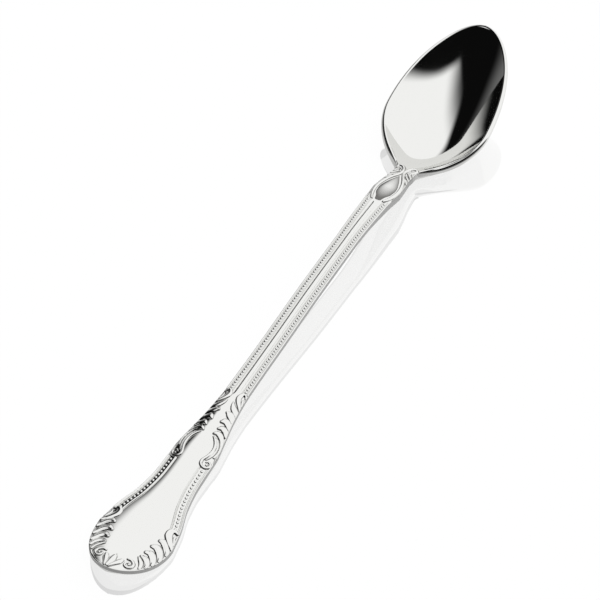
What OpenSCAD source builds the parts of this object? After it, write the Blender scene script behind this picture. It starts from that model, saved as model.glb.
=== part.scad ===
// Iced tea spoon: long slender handle, small deep bowl, stamped relief on the face.
// X runs across the spoon, Y from the terminal's tip to the bowl's tip, Z up.
// The origin is midway along the spoon, on the table that it lies on.

/* [Overall] */
// Height of the handle's top edge at the crest of its arch
arch_h = 8; // [6.5:0.1:9.5]
// Height of the top edge at the terminal's upturned tip
tip_h = 4.9; // [4:0.1:6]
// Height of the rim at the bowl's heel, the lowest place of the rim
heel_h = 4.1; // [3.9:0.05:4.6]
// Height of the rim at the bowl's tip
bowl_tip_h = 18.6; // [17:0.1:20]

/* [Bowl] */
// Length of the bowl along the rim
bowl_l = 44.2; // [42:0.1:48]
// Width of the bowl across the rim
bowl_w = 28.4; // [25:0.1:32]
// Depth of the hollow below the rim, measured straight down
bowl_depth = 6.75; // [5.8:0.05:7]
// Thickness of the bowl at its bottom
bowl_t = 1.1; // [0.9:0.05:1.2]
// Width of the flat land on top of the rim
rim_w = 0.8; // [0.6:0.05:1.1]
// Height of the upright edge below the rim
rim_edge_h = 0.9; // [0.7:0.05:1]

/* [Neck] */
// Length of the neck that carries the cartouche
neck_l = 15; // [13:0.5:18]
// Width of the neck where it is widest
neck_w = 7.3; // [6.6:0.1:8.2]
// Thickness of the neck where it is widest
neck_t = 3.3; // [2.6:0.1:3.6]
// Length of the throat between the neck and the bowl's heel
throat_l = 3.8; // [3:0.1:5]
// Width of the throat
throat_w = 6; // [5.4:0.1:6.6]
// Thickness of the throat
throat_t = 3; // [2.4:0.1:3.2]

/* [Stem] */
// Length of the stem between the shoulder and the neck
stem_l = 68.8; // [56:0.2:82]
// Width of the stem
stem_w = 5.44; // [5:0.02:6]
// Thickness of the stem at its edge
stem_t = 1.9; // [1.6:0.05:2.4]
// Crown of the stem's face above its edges
stem_crown = 0.2; // [0.1:0.05:0.3]

/* [Terminal] */
// Length of the terminal from its tip to the scrolls
terminal_l = 34.8; // [33:0.2:38]
// Width of the terminal where it is widest
terminal_w = 18.5; // [16:0.1:21]
// Distance from the tip to the widest place
widest_l = 12.6; // [11.5:0.1:13.5]
// Width of the waist at the end of the terminal
waist_w = 10.6; // [9.6:0.1:11.6]
// Length of the shoulder, from the waist to the stem
shoulder_l = 23.4; // [21:0.2:26]
// Thickness of the terminal at its edge
terminal_t = 2.1; // [1.8:0.05:2.4]
// Crown of the terminal's face above its edges
terminal_crown = 0.6; // [0.3:0.05:0.8]

/* [Ornament] */
// Height of the raised outer moulding
ridge_h = 0.35; // [0.25:0.01:0.42]
// Width of the raised outer moulding
ridge_w = 0.46; // [0.36:0.02:0.52]
// Height of the fine inner moulding
fillet_h = 0.22; // [0.16:0.01:0.3]
// Width of the fine inner moulding
fillet_w = 0.4; // [0.3:0.02:0.44]
// Width of the rib along the middle of the stem
rib_w = 0.9; // [0.7:0.02:1]
// Height of the rib along the middle of the stem
rib_h = 0.42; // [0.3:0.01:0.5]
// Diameter of a bead
bead_d = 0.76; // [0.6:0.02:0.8]
// Spacing of the beads along the stem
stem_bead_pitch = 0.87; // [0.84:0.01:1.1]
// Spacing of the beads along the terminal
terminal_bead_pitch = 1; // [0.9:0.01:1.2]
// Height of the leaves and scrolls
leaf_h = 0.5; // [0.35:0.01:0.6]
// Height of the smooth cartouche on the neck
cartouche_h = 0.45; // [0.3:0.01:0.6]
// Gap under each raised piece
seat = 0.03; // [0.02:0.005:0.05]

/* [Hidden] */

// Places along the spoon, measured from the terminal's tip
length = terminal_l + shoulder_l + stem_l + neck_l + throat_l + bowl_l;
bowl_start = length - bowl_l;
joint_y = bowl_start - throat_l;
neck_start = joint_y - neck_l;
shoulder_end = terminal_l + shoulder_l;
wide_y = bowl_start + 0.45 * bowl_l;
hollow_start = bowl_start + 0.02 * bowl_l;
valley_y = bowl_start + 0.07 * bowl_l;
rest_y = 0.91 * widest_l;
crest_y = neck_start - 0.82 * neck_l;
swell_y = neck_start - neck_l;
neck_wide_y = neck_start + 0.37 * neck_l;
throat_y = joint_y - 0.11 * neck_l;
border_start = 1.45 * widest_l;

// How the top edge rises from the terminal to the crest, and dips to the heel
rise_shares = [[0, 0], [0.08, 0.025], [0.17, 0.06], [0.27, 0.19], [0.42, 0.425], [0.61, 0.63],
    [0.8, 0.87], [1, 1]];
dip_shares = [[0, 1], [0.21, 0.975], [0.36, 0.88], [0.52, 0.55], [0.65, 0.41], [0.78, 0.24],
    [0.91, 0.05], [1, 0]];
// How the bowl's rim climbs from the heel to the tip
rim_shares = [[0, 0], [0.06, 0.02], [0.2, 0.18], [0.46, 0.45], [0.73, 0.68], [1, 1]];
// How the width falls from the terminal to the waist, and from there to the stem
flare_shares = [[0, 1], [0.25, 0.73], [0.53, 0.26], [0.8, 0.04], [1, 0]];
taper_shares = [[0, 1], [0.12, 0.97], [0.3, 0.65], [0.48, 0.3], [0.75, 0.04], [1, 0]];
// How the stem swells to the neck, and the neck draws in to the throat
swell_shares = [[0, 0], [0.73, 0.5], [1, 1]];
draw_in_shares = [[0, 1], [0.58, 0.47], [1, 0]];
// How full the outline of the bowl is, and how its underside meets the throat
egg_share = 0.58;
throat_blend_share = 3;
belly_blend_share = 6;
// Where the crown of the face changes along the handle
crown_rows = [[0, 0.3 * terminal_crown], [widest_l, terminal_crown],
    [terminal_l, 0.8 * terminal_crown], [shoulder_end, stem_crown], [joint_y, stem_crown]];
thickness_rows = [[0, 0.95 * terminal_t], [rest_y, terminal_t], [terminal_l, terminal_t],
    [shoulder_end, stem_t], [crest_y, stem_t], [neck_wide_y, neck_t], [joint_y, throat_t]];

// A smooth curve with no overshoot through rows of place and value
function row_at(rows, x, i = 0) =
    (i >= len(rows) - 2 || x < rows[i + 1][0]) ? i : row_at(rows, x, i + 1);
function chord(rows, i) = (rows[i + 1][1] - rows[i][1]) / (rows[i + 1][0] - rows[i][0]);
function knot_slope(rows, i) =
    i == 0 ? chord(rows, 0)
    : i == len(rows) - 1 ? chord(rows, i - 1)
    : let (a = chord(rows, i - 1), b = chord(rows, i)) a * b <= 0 ? 0 : 2 * a * b / (a + b);
function curve(rows, x) =
    let (i = row_at(rows, x), step = rows[i + 1][0] - rows[i][0])
    let (u = min(1, max(0, (x - rows[i][0]) / step)))
    let (a = knot_slope(rows, i) * step, b = knot_slope(rows, i + 1) * step)
    let (p = rows[i][1], q = rows[i + 1][1])
    p + u * (a + u * (3 * (q - p) - 2 * a - b + u * (a + b - 2 * (q - p))));
function between(rows, from, to, y) = curve(rows, (y - from) / (to - from));

// Height of the top edge of the handle and of the bowl's rim
function edge_z(y) =
    y < rest_y ? terminal_t + (tip_h - terminal_t) * pow(1 - y / rest_y, 2)
    : y < crest_y ? terminal_t + (arch_h - terminal_t) * between(rise_shares, rest_y, crest_y, y)
    : y < valley_y ? heel_h + (arch_h - heel_h) * between(dip_shares, crest_y, valley_y, y)
    : heel_h + (bowl_tip_h - heel_h) * between(rim_shares, valley_y, length, y);

// Half the width of a bowl outline that runs from one end to the other
function egg(y, start, end, half) =
    let (v = y < wide_y ? (wide_y - y) / (wide_y - start) : (y - wide_y) / (end - wide_y))
    abs(v) >= 1 ? 0 : half * pow(1 - v * v, egg_share);
function blend(a, b, power) = pow(pow(a, power) + pow(b, power), 1 / power);

// Half the width of the spoon
function half_w(y) =
    y < widest_l ? terminal_w / 2 * sqrt(max(0.0004, 1 - pow(1 - y / widest_l, 2)))
    : y < terminal_l ? (waist_w
        + (terminal_w - waist_w) * between(flare_shares, widest_l, terminal_l, y)) / 2
    : y < shoulder_end + 0.35 * shoulder_l ? (stem_w + (waist_w - stem_w)
        * between(taper_shares, terminal_l, shoulder_end + 0.35 * shoulder_l, y)) / 2
    : y < neck_wide_y ? (stem_w
        + (neck_w - stem_w) * between(swell_shares, swell_y, neck_wide_y, y)) / 2
    : y < throat_y ? (throat_w
        + (neck_w - throat_w) * between(draw_in_shares, neck_wide_y, throat_y, y)) / 2
    : blend(throat_w / 2 * (1 - pow(swell(y), 2)), egg(y, bowl_start, length, bowl_w / 2),
        throat_blend_share);

// The face of the spoon lies below its top edge where mouldings stand on it
function face_drop(y) = ridge_h * curve([[joint_y, 1], [valley_y, 0]], y);
function face_z(x, y) =
    edge_z(y) - face_drop(y)
    + (y > joint_y ? stem_crown * (1 - swell(y)) : curve(crown_rows, y))
    * (1 - pow(x / half_w(y), 2));

// A closed body through rings of points, with flat ends
function flat(rings) = [for (ring = rings) for (point = ring) point];
module loft(rings) {
    n = len(rings[0]);
    last = len(rings) - 1;
    polyhedron(
        points = flat(rings),
        faces = concat(
            [[for (j = [0:n - 1]) j]],
            [for (i = [0:last - 1]) for (j = [0:n - 1])
                [i * n + j, (i + 1) * n + (j + 1) % n, i * n + (j + 1) % n]],
            [for (i = [0:last - 1]) for (j = [0:n - 1])
                [i * n + j, (i + 1) * n + j, (i + 1) * n + (j + 1) % n]],
            [[for (j = [n - 1:-1:0]) last * n + j]]
        )
    );
}
module place() {
    translate([0, -length / 2, 0]) children();
}

// Cross sections of the handle: a crowned face, upright sides and a flat back
face_steps = 8;
back_steps = 8;
back_power = 10;
side_share = 0.7;
function across(half, j, steps) = half * sin(180 * j / steps - 90);
function back_z(x, y) =
    let (t = curve(thickness_rows, y), side = side_share * t)
    edge_z(y) - side - (t - side) * (1 - pow(abs(x) / half_w(y), back_power));
function handle_ring(y) =
    let (w = half_w(y))
    concat(
        [for (j = [0:face_steps]) let (x = across(w, j, face_steps)) [x, y, face_z(x, y)]],
        [for (j = [back_steps:-1:0]) let (x = across(w, j, back_steps)) [x, y, back_z(x, y)]]
    );
function stations(from, to, steps) = [for (i = [0:steps]) from + (to - from) * i / steps];

module handle_part(ys) {
    place() loft([for (y = ys) handle_ring(y)]);
}

module terminal() {
    tip_steps = 12;
    flare_steps = 14;
    color("gainsboro") handle_part(concat(
        [for (i = [0:tip_steps - 1]) widest_l * (1 - cos(90 * i / tip_steps))],
        stations(widest_l, terminal_l, flare_steps)
    ));
}

module shoulder() {
    color("silver") handle_part(stations(terminal_l, shoulder_end, 18));
}

module stem() {
    color("gainsboro") handle_part(concat(
        stations(shoulder_end, swell_y, 18),
        [for (y = stations(swell_y, neck_start, 8)) if (y > swell_y) y]
    ));
}

module neck() {
    color("silver") handle_part(stations(neck_start, joint_y, 14));
}

// Cross sections of the bowl: a hollow with a flat rim, on a body that grows from the throat
hollow_steps = 14;
belly_steps = 14;
hollow_power = 2.1;
function swell(y) = min(1, max(0, (y - joint_y) / (wide_y - joint_y)));
function hollow_half(y) =
    max(egg(y, hollow_start, length - rim_w, bowl_w / 2 - rim_w), 0.3 * half_w(y));
function hollow_depth(y) =
    let (end = length - rim_w)
    let (v = y < wide_y ? (wide_y - y) / (wide_y - hollow_start) : (y - wide_y) / (end - wide_y))
    bowl_depth * max(0, 1 - v * v);
function hollow_z(x, y) =
    face_z(x, y) - hollow_depth(y) * (1 - pow(min(1, abs(x) / hollow_half(y)), hollow_power));
function belly_depth(y) =
    blend(throat_t * (1 - pow(swell(y), 2)), hollow_depth(y) + bowl_t, belly_blend_share);
function belly_z(x, y) =
    let (grown = min(1, 3 * swell(y)))
    let (side = side_share * throat_t + (rim_edge_h - side_share * throat_t) * grown)
    let (power = back_power + (hollow_power - back_power) * grown)
    edge_z(y) - side
    - max(0, belly_depth(y) - side) * (1 - pow(abs(x) / half_w(y), power));
function bowl_ring(y) =
    let (w = half_w(y), h = hollow_half(y), rim_z = face_z(w, y))
    concat(
        [[-w, y, rim_z]],
        [for (j = [0:hollow_steps]) let (x = across(h, j, hollow_steps)) [x, y, hollow_z(x, y)]],
        [[w, y, rim_z]],
        [for (j = [belly_steps:-1:0]) let (x = across(w, j, belly_steps)) [x, y, belly_z(x, y)]]
    );

module bowl() {
    heel_steps = 7;
    back_half_steps = 10;
    front_half_steps = 14;
    tip_land = 0.02 * rim_w;
    color("whitesmoke") place() loft([
        for (y = concat(
            [for (y = stations(joint_y, hollow_start, heel_steps)) if (y < hollow_start) y],
            [for (i = [0:back_half_steps - 1])
                hollow_start + (wide_y - hollow_start) * (1 - cos(90 * i / back_half_steps))],
            [for (i = [0:front_half_steps])
                wide_y + (length - rim_w - wide_y) * sin(90 * i / front_half_steps)],
            [length - rim_w / 2, length - tip_land]
        )) bowl_ring(y)
    ]);
}

// A raised strand that follows a path on the face, widths and heights along it by shares
function spline(path, u) =
    let (n = len(path) - 1, s = min(u, 0.9999) * n, i = floor(s), t = s - i)
    let (a = path[max(i - 1, 0)], b = path[i], c = path[i + 1], d = path[min(i + 2, n)])
    (2 * b + (c - a) * t + (2 * a - 5 * b + 4 * c - d) * t * t
        + (3 * b - a - 3 * c + d) * t * t * t) / 2;
strand_section_shares = [[-1, 0], [-0.62, 0.78], [0, 1], [0.62, 0.78], [1, 0]];
leaf_taper_shares = [[0, 0.35], [0.12, 0.8], [0.35, 1], [0.75, 0.8], [1, 0.3]];
lobe_taper_shares = [[0, 0.5], [0.1, 0.85], [0.25, 1], [0.6, 0.75], [1, 0.4]];
cord_taper_shares = [[0, 0.5], [0.1, 1], [0.9, 1], [1, 0.5]];
function strand_ring(path, u, half, height, taper) =
    let (du = 0.01, here = spline(path, u))
    let (ahead = spline(path, min(1, u + du)) - spline(path, max(0, u - du)))
    let (normal = [ahead[1], -ahead[0]] / norm(ahead), size = curve(taper, u))
    [for (part = strand_section_shares)
        let (p = here + normal * part[0] * half * size)
        [p[0], p[1], face_z(p[0], p[1]) + seat + part[1] * height * sqrt(size)]];
module strand(path, half, height, taper, steps) {
    place() loft([for (i = [0:steps]) strand_ring(path, i / steps, half, height, taper)]);
}

// Turns rows of shares of the half width and of a stretch's length into a path on one side
function on_face(shares, start, stretch, side) =
    [for (row = shares) let (y = start + row[1] * stretch) [side * row[0] * half_w(y), y]];

// The mouldings and beads that run beside the edge, at a distance in from it
function edge_slope(y) = (half_w(y + seat) - half_w(y - seat)) / (2 * seat);
function inset_x(y, inset) = half_w(y) - inset * sqrt(1 + pow(edge_slope(y), 2));
module moulding(from, to, inset, width, height, side, steps) {
    place() loft([for (y = stations(from, to, steps))
        [for (part = strand_section_shares)
            let (x = side * inset_x(y, inset - part[0] * side * width / 2))
            [x, y, face_z(x, y) + seat + part[1] * height]]]);
}
module bead() {
    difference() {
        sphere(d = bead_d, $fn = 20);
        translate([0, 0, -bead_d / 2]) cube(bead_d, center = true);
    }
}
module beads(from, to, inset, pitch, side) {
    count = floor((to - from) / pitch);
    first = (from + to - (count - 1) * pitch) / 2;
    place() for (i = [0:count - 1]) {
        y = first + i * pitch;
        x = side * inset_x(y, inset);
        tilt_x = atan((face_z(x, y + seat) - face_z(x, y - seat)) / (2 * seat));
        tilt_y = -atan((face_z(x + seat, y) - face_z(x - seat, y)) / (2 * seat));
        translate([x, y, face_z(x, y) + seat]) rotate([tilt_x, tilt_y, 0]) bead();
    }
}
inner_inset = 1.62;
bead_inset = ridge_w + bead_d * 0.66;

module stem_border(side) {
    color("darkgray") {
        moulding(shoulder_end + seat, neck_start, ridge_w / 2, ridge_w, ridge_h, side, 22);
        moulding(shoulder_end + seat, neck_start, inner_inset, fillet_w, fillet_h, side, 22);
    }
}

module terminal_border(side) {
    stretch_end = terminal_l - seat;
    color("darkgray") {
        moulding(border_start, stretch_end, ridge_w / 2, ridge_w, ridge_h, side, 12);
        moulding(border_start, stretch_end, 1.3 * inner_inset, fillet_w, fillet_h, side, 12);
    }
}

module stem_beads(side) {
    color("white") beads(shoulder_end, neck_start, bead_inset, stem_bead_pitch, side);
}

module terminal_beads(side) {
    color("white") beads(border_start, terminal_l, 1.25 * bead_inset, terminal_bead_pitch, side);
}

module centre_rib() {
    start = shoulder_end - 0.1 * shoulder_l;
    color("darkgray") strand([for (y = stations(start, neck_start, 5)) [0, y]],
        rib_w / 2, rib_h, cord_taper_shares, 24);
}

// Leaves on the shoulder: a hook, a long leaf and three overlapping scales
leaf_shares = [
    [[0.9, 0.79], [0.7, 0.835], [0.55, 0.89], [0.52, 0.945], [0.68, 0.975]],
    [[0.28, 0.83], [0.45, 0.785], [0.65, 0.755], [0.85, 0.73]],
    [[0.46, 0.685], [0.6, 0.685], [0.78, 0.67], [0.9, 0.65]],
    [[0.42, 0.59], [0.55, 0.6], [0.75, 0.595], [0.9, 0.565]],
    [[0.46, 0.505], [0.65, 0.51], [0.82, 0.495], [0.9, 0.465]]
];
leaf_half_shares = [1, 0.6, 0.75, 0.85, 0.65];
module shoulder_leaves(side) {
    color("lightgray") for (i = [0:len(leaf_shares) - 1])
        strand(on_face(leaf_shares[i], terminal_l, shoulder_l, side),
            leaf_half_shares[i] * leaf_h, leaf_h, i == 0 ? leaf_taper_shares : lobe_taper_shares,
            i == 0 ? 12 : 8);
}

// Scroll on the shoulder: two strands that sweep down and a volute that turns up at the waist
scroll_shares = [
    [[0.34, 0.42], [0.5, 0.43], [0.7, 0.415], [0.86, 0.37], [0.92, 0.3], [0.92, 0.24], [0.9, 0.19]],
    [[0.56, 0.37], [0.69, 0.345], [0.79, 0.3], [0.8, 0.24], [0.75, 0.18], [0.7, 0.14]],
    [[0.4, 0.375], [0.54, 0.34], [0.64, 0.29], [0.63, 0.22], [0.54, 0.15], [0.46, 0.09],
        [0.5, 0.045], [0.66, 0.025], [0.82, 0.035], [0.9, 0.07], [0.86, 0.105]]
];
scroll_half_shares = [0.62, 0.46, 0.5];
volute_shares = [0.68, 0.075];
module shoulder_scroll(side) {
    steps = [12, 10, 22];
    eye_y = terminal_l + volute_shares[1] * shoulder_l;
    color("lightgray") {
        for (i = [0:len(scroll_shares) - 1])
            strand(on_face(scroll_shares[i], terminal_l, shoulder_l, side),
                scroll_half_shares[i] * leaf_h, leaf_h, leaf_taper_shares, steps[i]);
        place() translate([side * volute_shares[0] * half_w(eye_y), eye_y,
            face_z(volute_shares[0] * half_w(eye_y), eye_y) + 2 * seat])
            cylinder(h = leaf_h / 2, r = leaf_h / 2, $fn = 24);
    }
}

// Lobes along the terminal's end: a hook and five that sweep out and down to the edge
gadroon_shares = [
    [[0.94, 0.7], [0.87, 0.76], [0.81, 0.83], [0.78, 0.9], [0.84, 0.95]],
    [[0.67, 0.76], [0.75, 0.755], [0.84, 0.71], [0.92, 0.64]],
    [[0.62, 0.64], [0.71, 0.635], [0.81, 0.595], [0.91, 0.52]],
    [[0.62, 0.525], [0.71, 0.52], [0.81, 0.48], [0.91, 0.405]],
    [[0.59, 0.425], [0.69, 0.415], [0.79, 0.375], [0.89, 0.3]],
    [[0.56, 0.345], [0.64, 0.325], [0.75, 0.275], [0.85, 0.215]]
];
gadroon_half_shares = [1.5, 1.45, 1.45, 1.45, 1.2, 0.85];
module gadroon(side) {
    stretch = border_start - seat;
    color("lightgray") for (i = [0:len(gadroon_shares) - 1])
        strand(on_face(gadroon_shares[i], 0, stretch, side),
            gadroon_half_shares[i] * leaf_h, leaf_h, i == 0 ? leaf_taper_shares
            : lobe_taper_shares, i == 0 ? 12 : 9);
}

// Shell at the tip: three petals that fan out from the edge, between two curls
petal_shares = [[0, 0.03], [0, 0.12], [0, 0.22], [0, 0.32]];
side_petal_shares = [[0.32, 0.06], [0.29, 0.13], [0.29, 0.22], [0.3, 0.3]];
curl_shares = [[0.6, 0.13], [0.53, 0.2], [0.54, 0.27], [0.62, 0.3]];
module tip_shell() {
    color("lightgray") {
        strand(on_face(petal_shares, 0, widest_l, 1), 1.7 * leaf_h, leaf_h,
            lobe_taper_shares, 8);
        for (side = [-1, 1]) {
            strand(on_face(side_petal_shares, 0, widest_l, side), 1.5 * leaf_h, leaf_h,
                lobe_taper_shares, 8);
            strand(on_face(curl_shares, 0, widest_l, side), 0.75 * leaf_h, leaf_h,
                leaf_taper_shares, 12);
        }
    }
}

// Scrolls on the neck: a strand round the cartouche that ends in a volute, and three leaves
neck_strand_shares = [
    [0.14, 0.01], [0.4, 0.07], [0.68, 0.19], [0.82, 0.33], [0.83, 0.5], [0.74, 0.67],
    [0.56, 0.8], [0.34, 0.92], [0.22, 1.02], [0.24, 1.12], [0.42, 1.2], [0.66, 1.18],
    [0.74, 1.1], [0.6, 1.06]
];
neck_leaf_shares = [
    [[0.94, 0.7], [0.84, 0.79], [0.7, 0.86]],
    [[0.92, 0.81], [0.78, 0.89], [0.6, 0.95]],
    [[0.9, 0.93], [0.72, 0.98], [0.52, 1.03]]
];
module neck_scroll(side) {
    color("lightgray") {
        strand(on_face(neck_strand_shares, neck_start, neck_l, side), 0.72 * leaf_h, leaf_h,
            cord_taper_shares, 30);
        for (shares = neck_leaf_shares)
            strand(on_face(shares, neck_start, neck_l, side), 0.6 * leaf_h, 0.8 * leaf_h,
                leaf_taper_shares, 6);
    }
}

// Drop-shaped cartouche between the neck's two strands
cartouche_half_shares = [[0, 0.02], [0.1, 0.3], [0.3, 0.57], [0.5, 0.6], [0.75, 0.42], [1, 0.03]];
module neck_cartouche() {
    low = neck_start + 0.09 * neck_l;
    high = neck_start + 0.86 * neck_l;
    steps = 8;
    color("whitesmoke") place() loft([for (y = stations(low, high, 16))
        let (half = half_w(y) * between(cartouche_half_shares, low, high, y))
        concat(
            [for (j = [0:steps]) let (x = across(half, j, steps))
                [x, y, face_z(x, y) + 2 * seat
                    + cartouche_h * (half / half_w(y)) * (1 - pow(x / half, 2))]],
            [[half, y, face_z(half, y) + seat], [0, y, face_z(0, y) + seat],
                [-half, y, face_z(half, y) + seat]]
        )]);
}

bowl();
neck();
stem();
shoulder();
terminal();
centre_rib();
neck_cartouche();
tip_shell();
neck_scroll(-1);  // neck_scroll_left
neck_scroll(1);  // neck_scroll_right
stem_border(-1);  // stem_border_left
stem_border(1);  // stem_border_right
stem_beads(-1);  // stem_beads_left
stem_beads(1);  // stem_beads_right
shoulder_leaves(-1);  // shoulder_leaves_left
shoulder_leaves(1);  // shoulder_leaves_right
shoulder_scroll(-1);  // shoulder_scroll_left
shoulder_scroll(1);  // shoulder_scroll_right
terminal_border(-1);  // terminal_border_left
terminal_border(1);  // terminal_border_right
terminal_beads(-1);  // terminal_beads_left
terminal_beads(1);  // terminal_beads_right
gadroon(-1);  // gadroon_left
gadroon(1);  // gadroon_right
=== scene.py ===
"""Dresses the packed iced tea spoon with smooth bodies, stamped relief, steel, floor and studio.

Shapes are worked out in millimetres, with y from 0 at the terminal's tip to the bowl's tip, and
z up from the table. put_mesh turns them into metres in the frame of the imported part.
"""

import math

import bpy
import numpy as np
from bpy.props import FloatProperty, PointerProperty, StringProperty
from bpy.types import Operator, Panel, PropertyGroup
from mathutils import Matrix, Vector


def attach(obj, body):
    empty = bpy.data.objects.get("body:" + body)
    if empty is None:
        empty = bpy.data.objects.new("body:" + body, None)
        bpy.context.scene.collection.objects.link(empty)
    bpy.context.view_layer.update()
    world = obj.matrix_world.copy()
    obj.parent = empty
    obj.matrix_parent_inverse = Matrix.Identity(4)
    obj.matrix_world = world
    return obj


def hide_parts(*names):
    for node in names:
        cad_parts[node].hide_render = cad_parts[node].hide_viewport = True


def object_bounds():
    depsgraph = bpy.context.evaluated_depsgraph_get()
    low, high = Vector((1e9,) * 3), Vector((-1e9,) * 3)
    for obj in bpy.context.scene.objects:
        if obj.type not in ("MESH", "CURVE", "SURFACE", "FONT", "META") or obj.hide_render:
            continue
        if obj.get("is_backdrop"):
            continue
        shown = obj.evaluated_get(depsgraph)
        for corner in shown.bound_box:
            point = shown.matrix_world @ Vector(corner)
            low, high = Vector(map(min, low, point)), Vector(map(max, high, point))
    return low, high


bl_info = {
    "name": "Iced tea spoon",
    "version": (1, 0, 0),
    "blender": (4, 5, 0),
    "location": "View3D > Sidebar > Spoon",
    "description": "Builds the looks of a stamped iced tea spoon around its packed solids",
    "category": "Object",
}

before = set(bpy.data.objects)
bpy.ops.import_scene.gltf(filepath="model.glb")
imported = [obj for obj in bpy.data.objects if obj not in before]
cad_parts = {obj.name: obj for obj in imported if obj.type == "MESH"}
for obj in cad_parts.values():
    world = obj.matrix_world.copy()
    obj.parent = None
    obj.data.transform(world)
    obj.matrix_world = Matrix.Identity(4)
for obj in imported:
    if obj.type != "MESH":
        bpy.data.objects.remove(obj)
CAD_BOX = [list(corner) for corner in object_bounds()]
MM = 0.001
SIDES = {"left": -1, "right": 1}


def size(name, description, millimetres):
    """A length that a user may change, given in millimetres and held in metres."""
    return FloatProperty(name=name, description=description, default=millimetres * MM,
                         min=0.0, unit="LENGTH", subtype="DISTANCE", precision=5)


class SpoonSizes(PropertyGroup):
    arch_h: size("Arch height", "Top edge above the table at the crest", 8)
    tip_h: size("Tip height", "Top edge above the table at the terminal's tip", 4.9)
    heel_h: size("Heel height", "Rim above the table at the bowl's heel", 4.15)
    bowl_tip_h: size("Bowl tip height", "Rim above the table at the bowl's tip", 19.45)
    bowl_l: size("Bowl length", "From the heel to the tip", 46.7)
    bowl_w: size("Bowl width", "Across its outline", 29.2)
    bowl_t: size("Bowl thickness", "At the bottom of the hollow", 1.1)
    rim_w: size("Rim width", "From the bowl's outline to the hollow", 1.05)
    rim_lean: size("Rim slope width", "Width of the slope outside the rim's top edge", 0.7)
    rim_bevel: size("Rim bevel", "Fall of the rim's land from its crest to the hollow", 0.12)
    rim_edge_h: size("Rim slope height", "From the rim's top edge down to its outline", 1.35)
    neck_l: size("Neck length", "Stretch with the cartouche", 15)
    neck_w: size("Neck width", "Where it is widest", 7.2)
    neck_t: size("Neck thickness", "Where it is widest", 3.3)
    throat_l: size("Throat length", "Between the neck and the bowl's heel", 1.3)
    throat_w: size("Throat width", "Just before the bowl's heel", 5.7)
    throat_t: size("Throat thickness", "Just before the bowl's heel", 3)
    stem_l: size("Stem length", "Between shoulder and neck", 68.8)
    stem_w: size("Stem width", "Across its edges", 5.44)
    stem_t: size("Stem thickness", "At its edge", 1.9)
    stem_crown: size("Stem crown", "Middle of its face above its edges", 0.34)
    terminal_l: size("Terminal length", "From the tip to the scrolls", 34.8)
    terminal_w: size("Terminal width", "Where it is widest", 18.5)
    widest_l: size("Widest place", "From the tip to the widest place", 12.6)
    waist_w: size("Waist width", "At the end of the terminal", 10.6)
    shoulder_l: size("Shoulder length", "From the waist to the stem", 23.4)
    terminal_t: size("Terminal thickness", "At its edge", 2.1)
    terminal_crown: size("Terminal crown", "Middle of its face above its edges", 0.6)
    ridge_h: size("Ridge height", "Height of the raised outer moulding", 0.35)
    rib_w: size("Rib width", "Rib along the stem", 1.3)
    rib_h: size("Rib height", "Rib along the stem", 0.32)
    bead_d: size("Bead diameter", "Diameter of a bead", 0.8)
    stem_pitch: size("Stem bead pitch", "Spacing of the beads along the stem", 0.87)
    terminal_pitch: size("Terminal bead pitch", "Spacing of the beads on the terminal", 1)
    panel_rise: size("Panel rise", "How far the panel swells up inside the ornament", 0.5)
    leaf_h: size("Relief height", "Height of the leaves, lobes and scrolls", 0.38)
    cartouche_h: size("Cartouche height", "Height of the smooth drop on the neck", 0.18)


def colour(name, description, code):
    return StringProperty(name=name, description=description, default=code)


class SpoonColours(PropertyGroup):
    polished: colour("Polished steel", "Colour of the buffed faces, as sRGB hex", "E4E4E2")
    # This colour is painted shade for the stamped valleys, darker than the steel itself.
    painted_valley_shade: colour("Recess", "Colour of the stamped valleys, as sRGB hex", "6E6D6B")
    # This colour is painted shade for the handle's upright sides, darker than the steel itself.
    edge: colour("Edge", "Colour of the blanked edge, as sRGB hex", "A6A6A5")
    floor: colour("Floor", "Colour of the floor, as sRGB hex", "F7F7F7")


def sizes():
    return bpy.context.scene.spoon_sizes


def colours():
    return bpy.context.scene.spoon_colours


# Shapes of the whole spoon


def curve(rows, x):
    """A smooth curve with no overshoot through rows of place and value."""
    at, value = np.array(rows, float).T
    step = np.diff(at)
    chord = np.diff(value) / step
    a, b = chord[:-1], chord[1:]
    total = np.where(a + b == 0, 1, a + b)
    slope = np.concatenate([chord[:1], np.where(a * b > 0, 2 * a * b / total, 0), chord[-1:]])
    x = np.asarray(x, float)
    i = np.clip(np.searchsorted(at, x, side="right") - 1, 0, len(at) - 2)
    u = np.clip((x - at[i]) / step[i], 0, 1)
    p, q, a, b = value[i], value[i + 1], slope[i] * step[i], slope[i + 1] * step[i]
    return p + u * (a + u * (3 * (q - p) - 2 * a - b + u * (a + b - 2 * (q - p))))


def between(rows, y, start, end, low, high):
    """A length that follows a curve of shares between two places; share 0 is low, 1 is high."""
    return low + (high - low) * curve(rows, (y - start) / (end - start))


# The top edge: its rise to the crest, its dip to the bowl's valley and the rim's climb
RISE = [(0, 0), (0.08, 0.025), (0.17, 0.06), (0.27, 0.19), (0.42, 0.425), (0.61, 0.63),
        (0.8, 0.87), (1, 1)]
DIP = [(0, 1), (0.14, 0.99), (0.29, 0.94), (0.42, 0.88), (0.54, 0.755), (0.67, 0.57),
       (0.79, 0.375), (0.89, 0.15), (0.95, 0.04), (1, 0)]
CLIMB = [(0, 0), (0.06, 0.012), (0.15, 0.08), (0.26, 0.2), (0.47, 0.43), (0.7, 0.66),
         (0.85, 0.81), (1, 1)]
# The width: terminal to waist, waist to stem, stem to neck, and neck to throat
FLARE = [(0, 1), (0.25, 0.73), (0.53, 0.26), (0.8, 0.04), (1, 0)]
TAPER = [(0, 1), (0.12, 0.97), (0.3, 0.65), (0.48, 0.3), (0.75, 0.04), (1, 0)]
SWELL = [(0, 0), (0.73, 0.55), (1, 1)]
DRAW_IN = [(0, 1), (0.52, 0.55), (1, 0)]
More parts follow.
